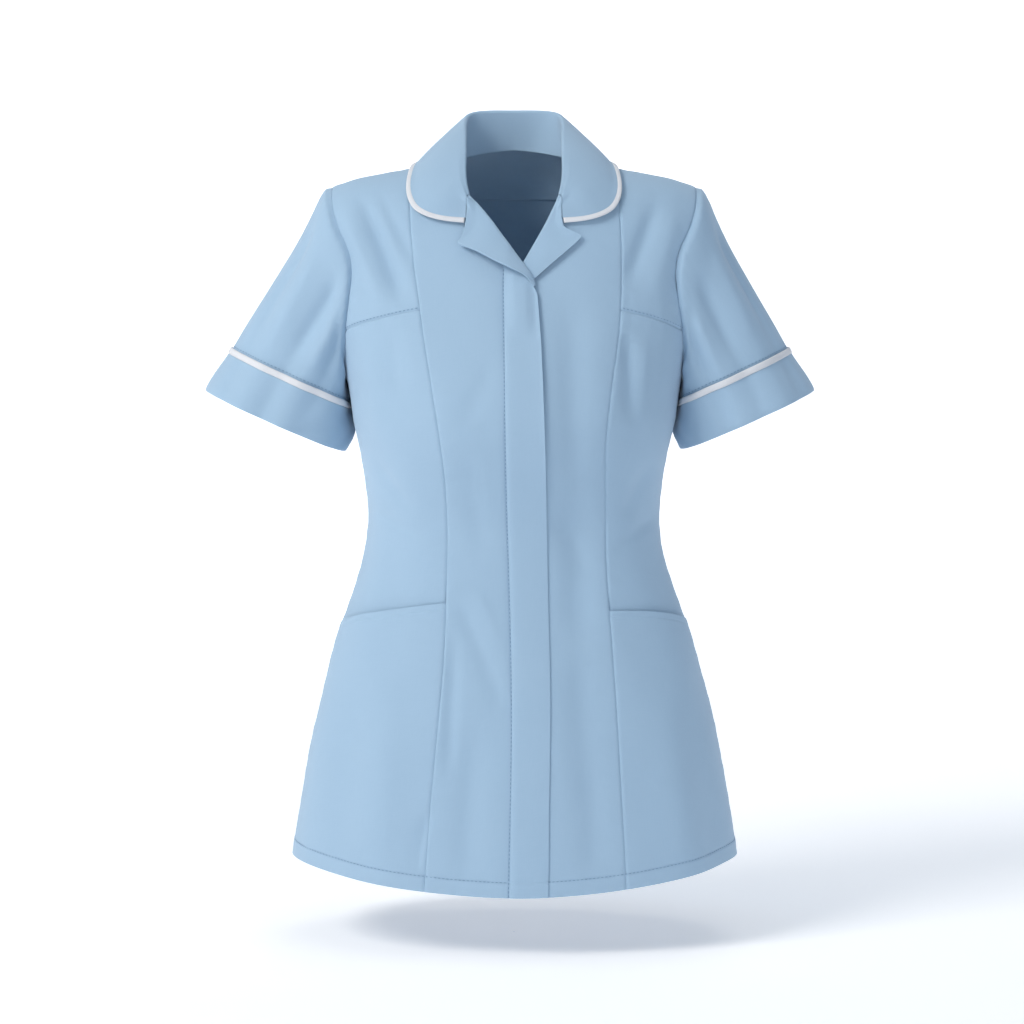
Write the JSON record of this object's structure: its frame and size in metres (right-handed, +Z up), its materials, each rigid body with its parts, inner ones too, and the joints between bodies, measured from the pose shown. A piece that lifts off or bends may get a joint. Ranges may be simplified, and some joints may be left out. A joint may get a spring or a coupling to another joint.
{
  "type": "zip-front tunic",
  "caption": "Fitted work tunic, filled out as worn, with a piped revere collar, a fly over the front zip, princess seams, hip pockets and short cuffed sleeves.",
  "frame": {"origin": "inside the shoulders on the middle plane, level with the tops of the side neck edges", "axes": "+Z up along the body, -Y out of the front, +X to the viewer's right"},
  "size_m": [0.6066, 0.2855, 0.7665],
  "materials": {
    "cloth": "matt sky-blue polycotton twill",
    "piping": "white corded piping",
    "zip_tape": "woven tape",
    "zip_teeth": "moulded coil",
    "zip_metal": "satin"
  },
  "bodies": {
    "tunic": {"front_overlap": "cloth", "front_underlap": "cloth", "chest_yoke_L": "cloth", "chest_yoke_R": "cloth", "side_front_L": "cloth", "side_front_R": "cloth", "pocket_L": "cloth", "pocket_R": "cloth", "side_back_L": "cloth", "side_back_R": "cloth", "back_centre": "cloth", "back_facing": "cloth", "fly": "cloth", "collar": "cloth", "collar_piping": "piping", "lapel_L": "cloth", "lapel_R": "cloth", "sleeve_L": "cloth", "sleeve_R": "cloth", "cuff_L": "cloth", "cuff_R": "cloth", "cuff_piping_L": "piping", "cuff_piping_R": "piping", "zip_tape_L": "zip_tape", "zip_tape_R": "zip_tape", "zip_chain": "zip_teeth", "zip_slider": "zip_metal"},
    "pull_tab": {"zip_pull": "zip_metal"}
  },
  "joints": [
    {"name": "pull_tab_hinge", "type": "hinge", "parent": "tunic", "child": "pull_tab", "pos_m": [0.00517, -0.09351, -0.12654], "axis": [-1, 0, 0], "range_deg": [0, 4]}
  ]
}
